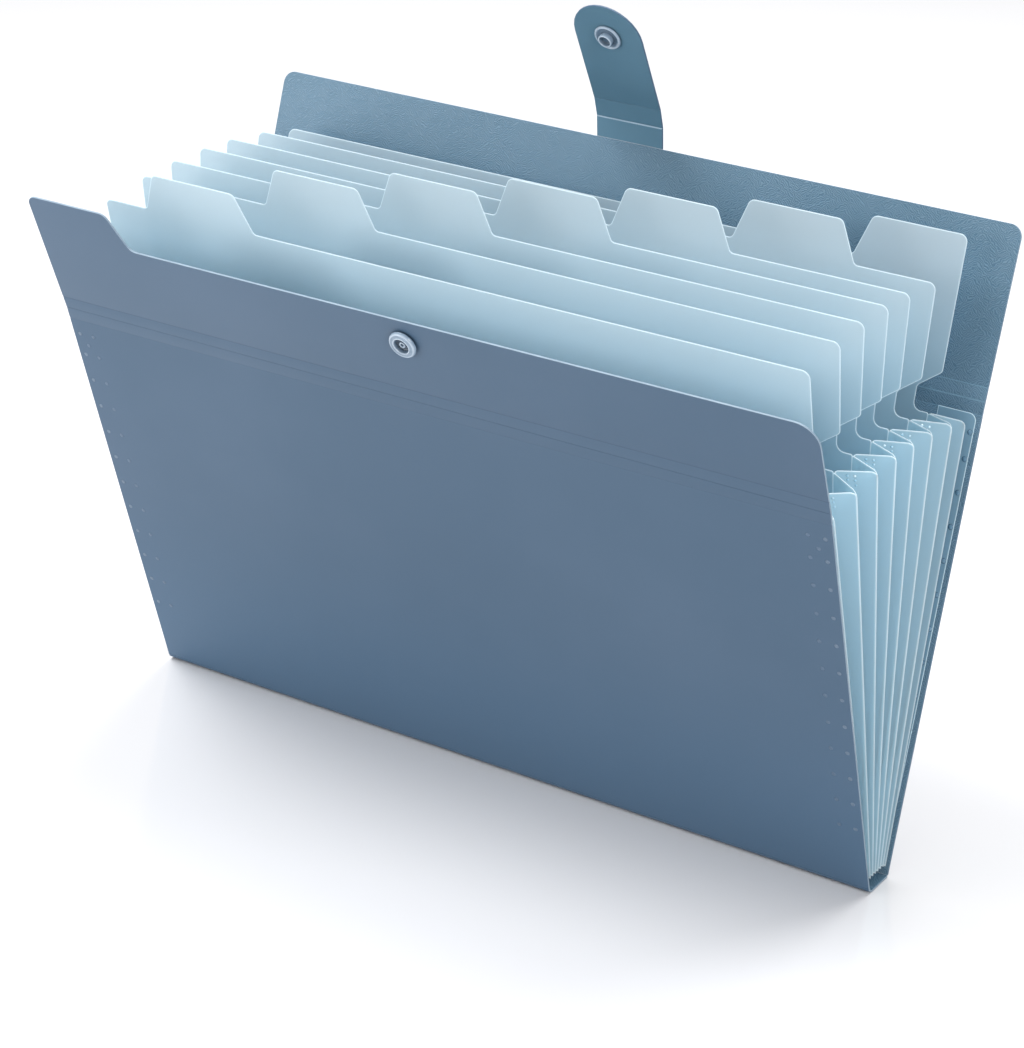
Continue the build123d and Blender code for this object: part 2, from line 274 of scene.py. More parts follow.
frost = {
    "cloudScale": 14.0,
    "cloudDetail": 2.0,
    "grain": 1700.0,
    "grainDetail": 2.0,
    "grainDepth": 0.00002,  # metres
    "gloss": 0.45,
    "rim": (0.2, 0.85),
    "depth": (0.165, 0.24),  # painted shade, bluer deep in the pockets, between these heights in metres
}


def mixShader(tree, share, first, second):
    return addNode(tree, "ShaderNodeMixShader", {0: share, 1: first.outputs[0], 2: second.outputs[0]})


def filmMaterial(name):
    look = filmLooks[name]
    material, tree, spot, out = startMaterial(name)
    clouds = ramp(tree, noise(tree, spot, frost["cloudScale"], frost["cloudDetail"]), *cloudRange)
    rim = ramp(tree, attribute(tree, "rim"), *frost["rim"])
    rise = addNode(tree, "ShaderNodeSeparateXYZ", {0: spot}).outputs[2]
    # painted shade deep in the pockets, fading out with height
    depth = ramp(tree, rise, *frost["depth"])
    colour = mixColour(tree, clouds, look["base"], look["cloud"])
    colour = mixColour(tree, rim, mixColour(tree, depth, look["paintedPocketShade"], colour), look["edge"])
    grain = noise(tree, spot, frost["grain"], frost["grainDetail"])
    shader = plasticShader(tree, colour, look["rough"], grain, frost["grainDepth"], frost["gloss"])
    passed = mixColour(tree, rim, mixColour(tree, depth, look["paintedPocketShade"], look["glow"]), look["edge"])
    glow = addNode(tree, "ShaderNodeBsdfTranslucent", {"Color": passed})
    seen = addNode(tree, "ShaderNodeBsdfTransparent", {"Color": look["glow"]})
    share = addNode(tree, "ShaderNodeMapRange", {0: rim, 3: look["clear"], 4: 0.0})
    frosted = mixShader(tree, look["through"], shader, glow)
    mixed = mixShader(tree, share.outputs[0], frosted, seen)
    tree.links.new(mixed.outputs[0], out.inputs[0])
    return material


dividerFilm = filmMaterial("dividerFilm")
gussetFilm = filmMaterial("gussetFilm")
flangeFilm = filmMaterial("flangeFilm")

# moulded snap and heat-weld marks
mouldedLooks = {
    "snapPlastic": {"base": tint(124, 142, 160), "worn": tint(134, 152, 170), "rough": 0.22},
    "brightWeld": {"base": tint(92, 111, 131), "worn": tint(100, 119, 138), "rough": 0.45},
    "faintWeld": {"base": tint(79, 101, 124), "worn": tint(83, 104, 126), "rough": 0.45},
    "filmWeld": {"base": tint(150, 192, 212), "worn": tint(214, 234, 242), "rough": 0.12},
    "flangeWeld": {"base": tint(92, 126, 148), "worn": tint(116, 148, 168), "rough": 0.15},
}
moulding = {
    "mottleScale": 420.0,
    "mottleDetail": 3.0,
    "mottleRange": (0.4, 0.7),
    "paintedRidgeHighlight": tint(178, 192, 206),
    "paintedHollowShade": tint(50, 70, 90),
    "grain": 5200.0,
    "grainDetail": 1.0,
    "grainDepth": 0.000005,  # metres
    "gloss": 0.5,
}


def mouldedMaterial(name):
    look = mouldedLooks[name]
    material, tree, spot, out = startMaterial(name)
    mottle = noise(tree, spot, moulding["mottleScale"], moulding["mottleDetail"])
    mottle = ramp(tree, mottle, *moulding["mottleRange"])
    colour = mixColour(tree, mottle, look["base"], look["worn"])
    # painted highlight on the snap's ridges; painted shade in its hollows and round the foot of weld beads
    colour = mixColour(tree, attribute(tree, "rim"), colour, moulding["paintedRidgeHighlight"])
    colour = mixColour(tree, attribute(tree, "crease"), colour, moulding["paintedHollowShade"])
    grain = noise(tree, spot, moulding["grain"], moulding["grainDetail"])
    shader = plasticShader(tree, colour, look["rough"], grain, moulding["grainDepth"], moulding["gloss"])
    tree.links.new(shader.outputs[0], out.inputs[0])
    return material


snapPlastic = mouldedMaterial("snapPlastic")
brightWeld = mouldedMaterial("brightWeld")
faintWeld = mouldedMaterial("faintWeld")
filmWeld = mouldedMaterial("filmWeld")
flangeWeld = mouldedMaterial("flangeWeld")
print("finishes:", len(bpy.data.materials))


sheetStyle = {
    "cornerSteps": 8,
    "mitreLimit": 0.4,
    "sharp": 28,
    "bevel": 0.12,
    "bevelShare": 0.3,  # the most that a bevel takes of a thin sheet
    "rim": 0.5,
    "creaseWidth": 1.2,
    "creaseDepth": 0.12,
    "creaseSteps": (-0.5, -0.25, 0, 0.25, 0.5),
    "creaseCore": 0.95,  # the line shows where the crease is at least this deep
    "seamShade": 0.25,
    "seamReach": 0.01,  # an edge this near a seam's height lies on it
}


def roundedOutline(corners):
    # corners are x, y and radius, going round the sheet against the clock
    steps = sheetStyle["cornerSteps"]
    points = []
    for i, (x, y, radius) in enumerate(corners):
        corner = Vector((x, y))
        before = (Vector(corners[i - 1][:2]) - corner).normalized()
        after = (Vector(corners[(i + 1) % len(corners)][:2]) - corner).normalized()
        if radius <= 0:
            points.append(corner)
            continue
        half = before.angle(after) / 2
        centre = corner + (before + after).normalized() * (radius / sin(half))
        first = corner + before * (radius / tan(half)) - centre
        last = corner + after * (radius / tan(half)) - centre
        start = atan2(first.y, first.x)
        turn = (atan2(last.y, last.x) - start + pi) % (2 * pi) - pi
        for k in range(steps + 1):
            at = start + turn * k / steps
            points.append(centre + Vector((cos(at), sin(at))) * radius)
    return points


def insetOutline(points, amount):
    moved = []
    for i, point in enumerate(points):
        into = (point - points[i - 1]).normalized()
        away = (points[(i + 1) % len(points)] - point).normalized()
        normal = Vector((-into.y, into.x))
        mitre = (normal + Vector((-away.y, away.x))).normalized()
        moved.append(point + mitre * (amount / max(sheetStyle["mitreLimit"], mitre.dot(normal))))
    return moved


def finishMesh(name, bm, place, looks, sharp=sheetStyle["sharp"]):
    bmesh.ops.transform(bm, matrix=Matrix.Scale(mm, 4) @ place, verts=bm.verts)
    bmesh.ops.recalc_face_normals(bm, faces=bm.faces)
    mesh = bpy.data.meshes.new(name)
    bm.to_mesh(mesh)
    bm.free()
    for look in looks:
        mesh.materials.append(look)
    mesh.polygons.foreach_set("use_smooth", [True] * len(mesh.polygons))
    mesh.set_sharp_from_angle(angle=radians(sharp))
    piece = bpy.data.objects.new(name, mesh)
    scene.collection.objects.link(piece)
    return piece


def pressCreases(bm, creases, middle, shade):
    # each crease is pressed into both faces and marked for a painted line: shade on most finishes, a
    # highlight on coverInside
    width = sheetStyle["creaseWidth"]
    for height, strength in creases:
        for step in sheetStyle["creaseSteps"]:
            everything = bm.verts[:] + bm.edges[:] + bm.faces[:]
            level = (0, height + step * width, 0)
            bmesh.ops.bisect_plane(bm, geom=everything, plane_co=level, plane_no=(0, 1, 0))
        for vert in bm.verts:
            share = 1 - (2 * (vert.co.y - height) / width) ** 2
            if share > 0:
                vert.co.z += sheetStyle["creaseDepth"] * share * (-1 if vert.co.z > middle else 1)
                vert[shade] = strength if share > sheetStyle["creaseCore"] else 0


def makeSheet(name, corners, place, front, back, looks, creases=(), seams=(), tone=sheetStyle["seamShade"]):
    # looks are the finishes of the front face, the cut edge, the back face and, on the strap, the pale crease
    # seams are heights where the sheet goes on past a crease, with the finishes beside it and in it,
    # and tone is how strongly they show
    bevel = min(sheetStyle["bevel"], (front - back) * sheetStyle["bevelShare"])
    rim = sheetStyle["rim"]
    outline = roundedOutline(corners)
    bm = bmesh.new()
    pale = bm.verts.layers.float.new("rim")
    shade = bm.verts.layers.float.new("crease")

    def looksAt(i):
        for height, beside, within in seams:
            miss = max(abs(outline[i - 1].y - height), abs(outline[i].y - height))
            if miss < sheetStyle["seamReach"]:
                return beside, within
        return 0, 1

    rings = []
    profile = ((rim, front, 0), (bevel, front, 1), (0, front - bevel, 1))
    profile += ((0, back + bevel, 1), (bevel, back, 1), (rim, back, 0))
    for inset, depth, value in profile:
        ring = []
        for i, point in enumerate(insetOutline(outline, inset)):
            vert = bm.verts.new((point.x, point.y, depth))
            # edges on a seam carry the painted seam line, as strong as tone
            onSeam = 0 in (looksAt(i)[1], looksAt((i + 1) % len(outline))[1])
            vert[pale] = 0 if onSeam else value
            vert[shade] = tone * value if onSeam else 0
            ring.append(vert)
        rings.append(ring)
    bm.faces.new(rings[0])
    bm.faces.new(list(reversed(rings[-1]))).material_index = 2
    for level, (upper, lower) in enumerate(zip(rings, rings[1:])):
        for i in range(len(upper)):
            face = bm.faces.new((upper[i - 1], lower[i - 1], lower[i], upper[i]))
            beside, within = looksAt(i)
            face.material_index = (beside, within, within, within, 2)[level]
    pressCreases(bm, creases, (front + back) / 2, shade)
    return finishMesh(name, bm, place, looks)


def dress(piece, body, slot, *nodes):
    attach(piece, body)
    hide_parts(*nodes)


cover = {
    "width": 330.0,
    "lipRise": 38.5,
    "cornerRadius": 9.0,
    "earWidth": 37.0,
    "earRise": 15.5,
    "earSlope": 7.5,
    "earRadius": 4.0,
    "backLipRise": 64.8,
    "backRadius": 5.0,
    "creaseSpacing": 5.2,
    "lowLine": 0.4,
    "highLine": 1.0,
    "backLine": 0.8,
    "relief": 0.01,  # keeps two edges apart where a crease opens flat
}
halfCover = cover["width"] / 2
outsideFront = (coverOutside, coverCut, coverInside)
insideFront = (coverInside, coverCut, coverOutside)
panelTop = fan["lipCrease"]
panel = [(-halfCover, 0, 0), (halfCover, 0, 0), (halfCover, panelTop, 0), (-halfCover, panelTop, 0)]
panelSeams = ((0, 0, 0), (panelTop, 0, 0))
lipSeam = ((0, 0, 0),)
lowCrease = ((panelTop - cover["creaseSpacing"], cover["lowLine"]),)
highCrease = ((cover["creaseSpacing"], cover["highLine"]),)
frontPanel = makeSheet("frontPanel", panel, frontFrame, sheet, 0, outsideFront, lowCrease, panelSeams)
backLow = ((panelTop - cover["creaseSpacing"], cover["backLine"]),)
backLook = (0, -sheet, insideFront, backLow, panelSeams, cover["backLine"])
backPanel = makeSheet("backPanel", panel, backFrame, *backLook)

earTop = cover["lipRise"] + cover["earRise"]
earRight = cover["earWidth"] - halfCover
frontLipCorners = [
    (-halfCover, 0, 0),
    (halfCover, 0, 0),
    (halfCover, cover["lipRise"], cover["cornerRadius"]),
    (earRight + cover["earSlope"], cover["lipRise"], cover["earRadius"]),
    (earRight, earTop, cover["earRadius"]),
    (-halfCover, earTop, cover["earRadius"]),
]
relief = cover["relief"]
backLipCorners = [
    (-halfCover, relief, 0),
    (halfCover, relief, 0),
    (halfCover, cover["backLipRise"], cover["backRadius"]),
    (-halfCover, cover["backLipRise"], cover["backRadius"]),
]
frontLip = makeSheet("frontLip", frontLipCorners, frontLipFrame, 0, -sheet, outsideFront, highCrease, lipSeam)
backLipSeam = ((relief, 0, 0),)
backLipLook = (sheet, 0, insideFront, highCrease, backLipSeam, cover["backLine"])
backLip = makeSheet("backLip", backLipCorners, backLipFrame, *backLipLook)


def makeSpine(name):
    # a flat foot that curves up to the front crease, as one bent strip
    inner, outer = [], []
    middleY = -fan["footWidth"] / 2
    middleZ = sheet + fan["spineRadius"]
    steps = fan["spineSteps"]
    for k in range(steps + 1):
        turn = sweep * (1 - k / steps)
        for line, radius in ((inner, fan["spineRadius"]), (outer, fan["spineRadius"] + sheet)):
            line.append((middleY - radius * sin(turn), middleZ - radius * cos(turn)))
    for share in fan["footShares"]:
        inner.append((middleY + fan["footWidth"] * share, sheet))
        outer.append((middleY + fan["footWidth"] * share, 0))
    loop = outer + list(reversed(inner))
    bevel = sheetStyle["bevel"]
    bm = bmesh.new()
    ends = []
    flush = halfCover - bevel
    for x, shrink in ((-halfCover, bevel), (-flush, 0), (flush, 0), (halfCover, bevel)):
        ring = []
        pull = shrink / sheet
        for i, (y, z) in enumerate(loop):
            mate = loop[len(loop) - 1 - i]
            ring.append(bm.verts.new((x, y + (mate[0] - y) * pull, z + (mate[1] - z) * pull)))
        ends.append(ring)
    for level, (a, b) in enumerate(zip(ends, ends[1:])):
        for i in range(len(loop)):
            face = bm.faces.new((a[i - 1], a[i], b[i], b[i - 1]))
            face.material_index = 1 if level != 1 else (2 if i > len(outer) else 0)
    for ring in (ends[0], ends[-1]):
        for i in range(len(outer) - 1):
            bm.faces.new((ring[i], ring[i + 1], ring[-2 - i], ring[-1 - i])).material_index = 1
    return finishMesh(name, bm, Matrix.Identity(4), (coverOutside, coverCut, spineInsidePaintedShade))


dress(makeSpine("spineStrip"), "spine", "cover_sheet", "spine_strip")
dress(frontLip, "front_lip", "cover_sheet", "front_lip")
dress(backLip, "back_lip", "cover_sheet", "back_lip")
print("covers done")

strap = {
    "width": 29.4,
    "rootLength": 8.569,
    "midLength": 8.0,
    "studPlace": 33.753,
    "tipFlat": 0.001,  # what is left between the two round corners of the end
    "bends": (23.0, 13.0, 10.0),
    "tipRelief": 0.05,  # the end turns a little past flat
}
halfStrap = strap["width"] / 2
rootTilt = backLipTilt - strap["bends"][0]
midTilt = rootTilt - strap["bends"][1]
rootFrame = bentFrame(backLipFrame, cover["backLipRise"], sheet, rootTilt)
midFrame = bentFrame(rootFrame, strap["rootLength"], 0, midTilt)
endFrame = bentFrame(midFrame, strap["midLength"], 0, midTilt - strap["bends"][2])


def makeStrap(name, length, place, tip, seams, node):
    low = seams[0][0]
    corners = [(-halfStrap, low, 0), (halfStrap, low, 0), (halfStrap, length, tip), (-halfStrap, length, tip)]
    looks = (strapInsidePaintedLight, coverOutside, coverOutside, strapLine)
    dress(makeSheet(name, corners, place, 0, -sheet, looks, (), seams), node, "cover_sheet", node)


rootTop = strap["rootLength"]
midTop = strap["midLength"]
endTop = strap["studPlace"] + halfStrap
makeStrap("strapRoot", rootTop, rootFrame, 0, ((0, 0, 3), (rootTop, 3, 3)), "tongue_root")
makeStrap("strapMiddle", midTop, midFrame, 0, ((0, 0, 0), (midTop, 0, 0)), "tongue_mid")
tipRadius = halfStrap - strap["tipFlat"]
makeStrap("strapEnd", endTop, endFrame, tipRadius, ((strap["tipRelief"], 0, 0),), "tongue_end")
print("strap done")

# snap fastener, turned from profiles of radius, height and shade: 1 for a painted highlight on a ridge, -1
# for painted shade in a hollow
snap = {
    "drop": 10.2,
    "steps": 80,
    "sharp": 50,
    "socket": (
        (0, 0.8, -0.6), (0.6, 0.8, -0.6), (0.72, 1.3, 0), (0.86, 1.5, 1), (1.08, 1.5, 1), (1.24, 1.36, 0.3),
        (1.3, 1.1, 0), (1.3, 0.35, -0.9), (2.7, 0.35, -0.9), (2.98, 0.6, -0.8), (3.05, 1.8, -0.3),
        (3.1, 2.18, 0.6), (3.28, 2.36, 1), (3.52, 2.28, 0.5), (3.7, 2.12, 0), (4.1, 2.05, -0.1),
        (4.6, 2.0, 0), (4.76, 2.06, 0.5), (5.0, 2.03, 0.8), (5.3, 1.78, 0.4), (5.52, 1.4, 0), (5.6, 1.0, 0),
        (5.56, 0.7, -0.6), (5.3, 0.52, -1), (4.6, 0.44, -1), (4.4, 0.3, -1), (4.4, 0, -1), (0, 0, 0),
    ),
    "stud": (
        (0, 1.5, -0.7), (1.9, 1.5, -0.7), (2.1, 1.7, -0.6), (2.2, 2.6, -0.2), (2.28, 3.0, 0.6),
        (2.42, 3.14, 1), (2.6, 3.12, 1), (2.78, 2.95, 0.5), (2.85, 2.6, 0), (2.78, 2.0, -0.1),
        (2.75, 1.2, -0.4), (2.85, 0.85, -0.8), (3.2, 0.72, -0.5), (4.2, 0.72, -0.3), (4.45, 0.9, 0),
        (4.7, 1.12, 0.8), (5.0, 1.15, 1), (5.35, 0.98, 0.4), (5.58, 0.65, 0), (5.52, 0.4, -0.7),
        (5.2, 0.28, -1), (5.0, 0.2, -1), (5.0, 0, -1), (0, 0, 0),
    ),
    "cap": (
        (0, 0.66, 0), (2.2, 0.68, 0.2), (2.5, 0.62, -0.3), (2.8, 0.66, 0.1), (4.2, 0.66, 0.1),
        (4.9, 0.58, 0.3), (5.35, 0.36, 0.3), (5.58, 0.1, 0), (5.55, 0, -0.4), (0, 0, 0),
    ),
}


def makeTurned(name, profile, place, look):
    steps = snap["steps"]
    bm = bmesh.new()
    pale = bm.verts.layers.float.new("rim")
    dark = bm.verts.layers.float.new("crease")
    rings = []
    for radius, height, shade in profile:
        count = 1 if radius == 0 else steps
        turns = [2 * pi * k / count for k in range(count)]
        ring = [bm.verts.new((radius * cos(t), radius * sin(t), height)) for t in turns]
        # the shade column becomes painted highlight and painted shade
        for vert in ring:
            vert[pale] = max(shade, 0)
            vert[dark] = max(-shade, 0)
        rings.append(ring)
    for a, b in zip(rings, rings[1:]):
        for k in range(steps):
            around = (a[k % len(a)], a[(k + 1) % len(a)], b[(k + 1) % len(b)], b[k % len(b)])
            bm.faces.new(list(dict.fromkeys(around)))
    return finishMesh(name, bm, place, (look,), snap["sharp"])


def otherFace(place):
    # the same spot on the far face of a cover sheet, looking the other way
    return place @ Matrix.Translation((0, 0, -sheet)) @ Matrix.Rotation(pi, 4, "X")


socketPlace = frontLipFrame @ Matrix.Translation((0, cover["lipRise"] - snap["drop"], 0))
studPlace = endFrame @ Matrix.Translation((0, strap["studPlace"], 0))
for name, profile, place, body, node in (
    ("snapSocket", "socket", socketPlace, "front_lip", "snap_socket"),
    ("snapSocketCap", "cap", otherFace(socketPlace), "front_lip", "snap_socket_cap"),
    ("snapStud", "stud", studPlace, "tongue_end", "snap_stud"),
    ("snapStudCap", "cap", otherFace(studPlace), "tongue_end", "snap_stud_cap"),
):
    dress(makeTurned(name, snap[profile], place, snapPlastic), body, "snap_plastic", node)
print("snap fastener done")

divider = {
    "sheet": 0.4,
    "halfWidth": 150.0,
    "seat": 147.5,
    "halfNeck": 141.25,
    "shoulder": 173.0,
    "seatRadius": 0.8,
    "neckLow": 182.0,
    "neckHigh": 188.5,
    "neckRadius": 3.0,
    "height": 223.5,
    "cornerRadius": 3.0,
    "tabRise": 15.5,
    "tabWidth": 37.8,
    "tabLeftSlope": 5.5,
    "tabRightSlope": 7.0,
    "tabMargin": 20.0,
    "tabRadius": 2.0,
}
dividerCount = pocketCount - 1
firstTab = divider["tabMargin"] - divider["halfWidth"]
lastTab = divider["halfWidth"] - divider["tabLeftSlope"] - divider["tabWidth"]


def dividerCorners(number):
    wide, high, small = divider["halfWidth"], divider["height"], divider["tabRadius"]
    rightSide = [
        (divider["seat"], 0, small),
        (divider["seat"], divider["shoulder"], divider["seatRadius"]),
        (divider["halfNeck"], divider["shoulder"], divider["neckRadius"]),
        (divider["halfNeck"], divider["neckLow"], small),
        (wide, divider["neckHigh"], small),
    ]
    leftSide = [(-x, y, radius) for x, y, radius in reversed(rightSide)]
    tabLeft = firstTab + (lastTab - firstTab) * (number - 1) / (dividerCount - 1)
    tabRight = tabLeft + divider["tabLeftSlope"] + divider["tabWidth"]
    tabTop = high + divider["tabRise"]
    if number < dividerCount:
        top = [
            (wide, high, divider["cornerRadius"]),
            (tabRight + divider["tabRightSlope"], high, small),
            (tabRight, tabTop, divider["cornerRadius"]),
        ]
    else:
        top = [(wide, tabTop, divider["cornerRadius"])]  # the last tab ends at the divider's own edge
    top += [
        (tabLeft + divider["tabLeftSlope"], tabTop, divider["cornerRadius"]),
        (tabLeft, high, small),
        (-wide, high, divider["cornerRadius"]),
    ]
    return rightSide + top + leftSide


halfDivider = divider["sheet"] / 2
dividerLooks = (dividerFilm, dividerFilm, dividerFilm)
for number in range(1, pocketCount):
    place = leafFrames[number]
    node = f"divider_{number}"
    corners = dividerCorners(number)
    piece = makeSheet(f"divider{number}", corners, place, halfDivider, -halfDivider, dividerLooks)
    dress(piece, node, "divider_sheet", node)
print("dividers done:", dividerCount)


def newTree(name, numbers=(), vectors=()):
    tree = bpy.data.node_groups.new(name, "GeometryNodeTree")
    face = tree.interface
    face.new_socket("Geometry", in_out="INPUT", socket_type="NodeSocketGeometry")
    for label in numbers:
        face.new_socket(label, in_out="INPUT", socket_type="NodeSocketFloat")
    for label in vectors:
        face.new_socket(label, in_out="INPUT", socket_type="NodeSocketVector")
    face.new_socket("finish", in_out="INPUT", socket_type="NodeSocketMaterial")
    face.new_socket("Geometry", in_out="OUTPUT", socket_type="NodeSocketGeometry")
    return tree, addNode(tree, "NodeGroupInput"), addNode(tree, "NodeGroupOutput")


def endTree(tree, geometry, finish, end):
    solid = addNode(tree, "GeometryNodeRealizeInstances", {0: geometry})
    smooth = addNode(tree, "GeometryNodeSetShadeSmooth", {"Geometry": solid.outputs[0]})
    painted = addNode(tree, "GeometryNodeSetMaterial", {"Geometry": smooth.outputs[0], "Material": finish})
    tree.links.new(painted.outputs[0], end.inputs[0])


def runTree(piece, tree, values):
    modifier = piece.modifiers.new(tree.name, "NODES")
    modifier.node_group = tree
    for item in tree.interface.items_tree:
        if item.in_out == "INPUT" and item.name in values:
            modifier[item.identifier] = values[item.name]
    bpy.context.view_layer.update()
    graph = bpy.context.evaluated_depsgraph_get()
    baked = bpy.data.meshes.new_from_object(piece.evaluated_get(graph))
    piece.modifiers.clear()
    piece.data = baked
    for helper in ("facing", "spot"):
        if helper in baked.attributes:
            baked.attributes.remove(baked.attributes[helper])
    return piece


def namedVector(tree, name):
    inputs = {"Name": name}
    return addNode(tree, "GeometryNodeInputNamedAttribute", inputs, data_type="FLOAT_VECTOR").outputs[0]


def mathNode(tree, operation, first, second=0.0, third=0.0):
    return addNode(tree, "ShaderNodeMath", {0: first, 1: second, 2: third}, operation=operation).outputs[0]


def vectorNode(tree, operation, inputs):
    return addNode(tree, "ShaderNodeVectorMath", inputs, operation=operation)


def mixVector(tree, share, first, second):
    node = addNode(tree, "ShaderNodeMix", data_type="VECTOR")
    for socket, value in zip((node.inputs[0], node.inputs[4], node.inputs[5]), (share, first, second)):
        plug(tree, socket, value)
    return node.outputs[1]


def storeNode(tree, geometry, name, value, kind):
    inputs = {"Geometry": geometry, "Name": name, "Value": value}
    return addNode(tree, "GeometryNodeStoreNamedAttribute", inputs, data_type=kind, domain="POINT").outputs[0]


bead = {"segments": 10, "rings": 4, "shadeFall": -1.4}


def weldMarkTree():
    # a low bead on every point, with painted shade round its foot
    tree, start, end = newTree("weldMarks", ("radius", "rise", "foot"))
    get = start.outputs
    shape = {"Segments": bead["segments"], "Rings": bead["rings"], "Radius": 1.0}
    ball = addNode(tree, "GeometryNodeMeshUVSphere", shape)
    place = addNode(tree, "GeometryNodeInputPosition").outputs[0]
    climb = addNode(tree, "ShaderNodeSeparateXYZ", {0: place}).outputs[2]
    below = mathNode(tree, "MULTIPLY_ADD", mathNode(tree, "ABSOLUTE", climb), bead["shadeFall"], 1.0)
    shade = mathNode(tree, "MULTIPLY", mathNode(tree, "MAXIMUM", below, 0.0), get["foot"])
    shaded = storeNode(tree, ball.outputs["Mesh"], "crease", shade, "FLOAT")
    size = addNode(tree, "ShaderNodeCombineXYZ", {0: get["radius"], 1: get["radius"], 2: get["rise"]})
    facing = namedVector(tree, "facing")
    turn = addNode(tree, "FunctionNodeAlignRotationToVector", {"Vector": facing}, axis="Z")
    spread = addNode(tree, "GeometryNodeInstanceOnPoints", {
        "Points": get["Geometry"], "Instance": shaded,
        "Rotation": turn.outputs[0], "Scale": size.outputs[0],
    })
    endTree(tree, spread.outputs[0], get["finish"], end)
    return tree


weldTree = weldMarkTree()


def makeWelds(name, spots, radius, rise, foot, finish):
    # spots are pairs of place and direction
    mesh = bpy.data.meshes.new(name)
    mesh.from_pydata([spot * mm for spot, facing in spots], [], [])
    facings = mesh.attributes.new("facing", "FLOAT_VECTOR", "POINT")
    facings.data.foreach_set("vector", [c for spot, facing in spots for c in facing])
    piece = bpy.data.objects.new(name, mesh)
    scene.collection.objects.link(piece)
    values = {"radius": radius * mm, "rise": rise * mm, "foot": foot, "finish": finish}
    return runTree(piece, weldTree, values)


def absorb(piece, other):
    # joins the marks into the piece they sit on and keeps both finishes
    bm = bmesh.new()
    bm.from_mesh(piece.data)
    offset = len(piece.data.materials)
    for material in other.data.materials:
        piece.data.materials.append(material)
    before = len(bm.faces)
    bm.from_mesh(other.data)
    bm.faces.ensure_lookup_table()
    for face in bm.faces[before:]:
        face.material_index += offset
    bm.to_mesh(piece.data)
    bm.free()
    bpy.data.objects.remove(other)
    return piece


coverWelds = {
    "radius": 0.9,
    "rise": 0.045,
    "outerColumn": 161.9,
    "innerColumn": 155.3,
    "topPair": (169.5, 159.5),
    "single": (159.0, 164.5),
    "first": 146.9,
    "step": 12.93,
    "rows": 10,
}
weldHeights = list(coverWelds["topPair"])
weldHeights += [coverWelds["first"] - coverWelds["step"] * k for k in range(coverWelds["rows"])]


def markCover(piece, place, depth, direction):
    facing = place.to_3x3() @ Vector((0, 0, direction))
    outerSpots = [(coverWelds["outerColumn"], height) for height in weldHeights]
    innerSpots = [(coverWelds["innerColumn"], height) for height in weldHeights] + [coverWelds["single"]]
    for spots, finish in ((outerSpots, brightWeld), (innerSpots, faintWeld)):
        marks = [(place @ Vector((side * x, y, depth)), facing) for side in (-1, 1) for x, y in spots]
        beads = makeWelds(piece.name + "Welds", marks, coverWelds["radius"], coverWelds["rise"], 0, finish)
        absorb(piece, beads)


markCover(frontPanel, frontFrame, sheet, 1)
markCover(backPanel, backFrame, -sheet, -1)
dress(frontPanel, "front_cover", "cover_sheet", "front_panel")
dress(backPanel, "back_cover", "cover_sheet", "back_panel")
print("weld marks done")

gusset = {
    "film": 0.25,
    "weldGap": 0.2,
    "seat": 147.5,
    "edge": 161.0,
    "spread": 3.0,
    "bottom": 3.0,
    "top": 173.0,
    "corner": 2.4,
    "seatCorner": 1.1,
    "paleEdge": 0.8,
    "flangeEdge": 163.0,
    "flangeTop": 176.5,
    "flangeRadius": 3.0,
    "weldRadius": 0.6,
    "weldRise": 0.24,
    "weldSpots": ((0.7, 1.8), (0.69, 3.5), (0.53, 2.0), (0.52, 3.7), (0.5, 5.6)),
    "paintedWeldFootShade": 0.6,
    "flangeWeld": 1.1,
    "flangeWeldRise": 0.42,
    "flangeColumns": (161.7, 155.3),
    "folded": 0.06,
    "pointsAcross": 25,
    "pointsAlong": 16,
    "endGather": 2.4,
    "lift": 10.0,  # sets the inner face apart until it is placed
    "mergeWithin": 0.002,
    "sharp": 40,
}


